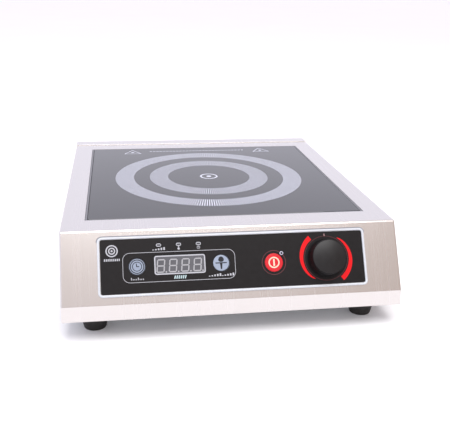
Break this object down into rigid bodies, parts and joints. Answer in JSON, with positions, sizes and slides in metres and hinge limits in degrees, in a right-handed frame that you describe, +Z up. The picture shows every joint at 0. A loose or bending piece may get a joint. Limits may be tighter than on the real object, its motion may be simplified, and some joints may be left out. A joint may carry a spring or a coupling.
{
  "type": "countertop induction hob",
  "caption": "Low stainless countertop induction hob with a square black glass plate, slanted front control panel with display, keys and rotary knob, on rubber feet.",
  "frame": {"origin": "middle of the overall box in X and Y, on the worktop under the feet", "axes": "+X to the user's right, +Y to the rear, +Z up; the control panel faces -Y"},
  "size_m": [0.33, 0.4106, 0.0998],
  "materials": {
    "stainless": "fine brushed, satin",
    "galvanised": "galvanised sheet, dull",
    "glass_ceramic": "polished black glass ceramic",
    "silicone_seal": "matt",
    "bezel": "glossy moulded",
    "panel_overlay": "satin printed film",
    "smoked_window": "glossy translucent",
    "lamp_lens": "clear moulded",
    "key_grey": "satin moulded",
    "key_red": "satin moulded",
    "black_plastic": "fine matt texture",
    "foot_rubber": "matt moulded",
    "plated_steel": "zinc plated",
    "copper": "enamelled copper litz",
    "ferrite": "sintered, matt",
    "mica": "pressed sheet",
    "circuit_board": "solder mask",
    "aluminium": "extruded",
    "epoxy": "moulded epoxy",
    "film_capacitor": "cast resin box",
    "white_ceramic": "unglazed"
  },
  "bodies": {
    "case": {"base_pan": "galvanised", "bridge_rectifier": "epoxy", "cable_gland": "black_plastic", "coil_carrier": "black_plastic", "coil_post_1": "galvanised", "coil_post_2": "galvanised", "coil_post_3": "galvanised", "coil_post_4": "galvanised", "coil_winding": "copper", "control_board": "circuit_board", "dc_link_capacitor": "film_capacitor", "display_window": "smoked_window", "earth_stud": "plated_steel", "encoder_body": "plated_steel", "fan_frame": "black_plastic", "ferrite_bar_1": "ferrite", "ferrite_bar_2": "ferrite", "ferrite_bar_3": "ferrite", "ferrite_bar_4": "ferrite", "ferrite_bar_5": "ferrite", "ferrite_bar_6": "ferrite", "filter_choke": "copper", "foot_front_left": "foot_rubber", "foot_front_right": "foot_rubber", "foot_rear_left": "foot_rubber", "foot_rear_right": "foot_rubber", "foot_screw_front_left": "plated_steel", "foot_screw_front_right": "plated_steel", "foot_screw_rear_left": "plated_steel", "foot_screw_rear_right": "plated_steel", "gland_nut": "black_plastic", "glass_plate": "glass_ceramic", "glass_seal": "silicone_seal", "glass_sensor": "white_ceramic", "heatsink": "aluminium", "indicator_celsius": "lamp_lens", "indicator_minutes": "lamp_lens", "indicator_power": "lamp_lens", "indicator_standby": "lamp_lens", "main_board": "circuit_board", "mica_sheet": "mica", "panel_bezel": "bezel", "panel_overlay": "panel_overlay", "power_transistor": "epoxy", "rear_panel": "stainless", "resonance_capacitor": "film_capacitor", "segment_display": "epoxy", "standby_transformer": "film_capacitor", "switch_function": "epoxy", "switch_on_off": "epoxy", "switch_timer": "epoxy", "terminal_block": "white_ceramic", "top_cover": "stainless"},
    "knob": {"knob": "black_plastic", "encoder_shaft": "plated_steel"},
    "timer_key": {"key_timer": "key_grey"},
    "function_key": {"key_function": "key_grey"},
    "on_off_key": {"key_on_off": "key_red"},
    "fan": {"fan_impeller": "black_plastic"}
  },
  "joints": [
    {"name": "knob_turn", "type": "hinge", "parent": "case", "child": "knob", "pos_m": [0.0901, -0.18462, 0.06799], "axis": [0, -0.8721, 0.4893], "continuous": true},
    {"name": "timer_key_press", "type": "slide", "parent": "case", "child": "timer_key", "axis": [0, 0.8721, -0.4893], "range_m": [0, 0.0005], "stiffness_N_per_m": 2000},
    {"name": "function_key_press", "type": "slide", "parent": "case", "child": "function_key", "axis": [0, 0.8721, -0.4893], "range_m": [0, 0.0005], "stiffness_N_per_m": 2000},
    {"name": "on_off_key_press", "type": "slide", "parent": "case", "child": "on_off_key", "axis": [0, 0.8721, -0.4893], "range_m": [0, 0.0005], "stiffness_N_per_m": 2000},
    {"name": "fan_spin", "type": "hinge", "parent": "case", "child": "fan", "pos_m": [-0.05, -0.06722, 0.0363], "axis": [0, 0, 1], "continuous": true}
  ]
}
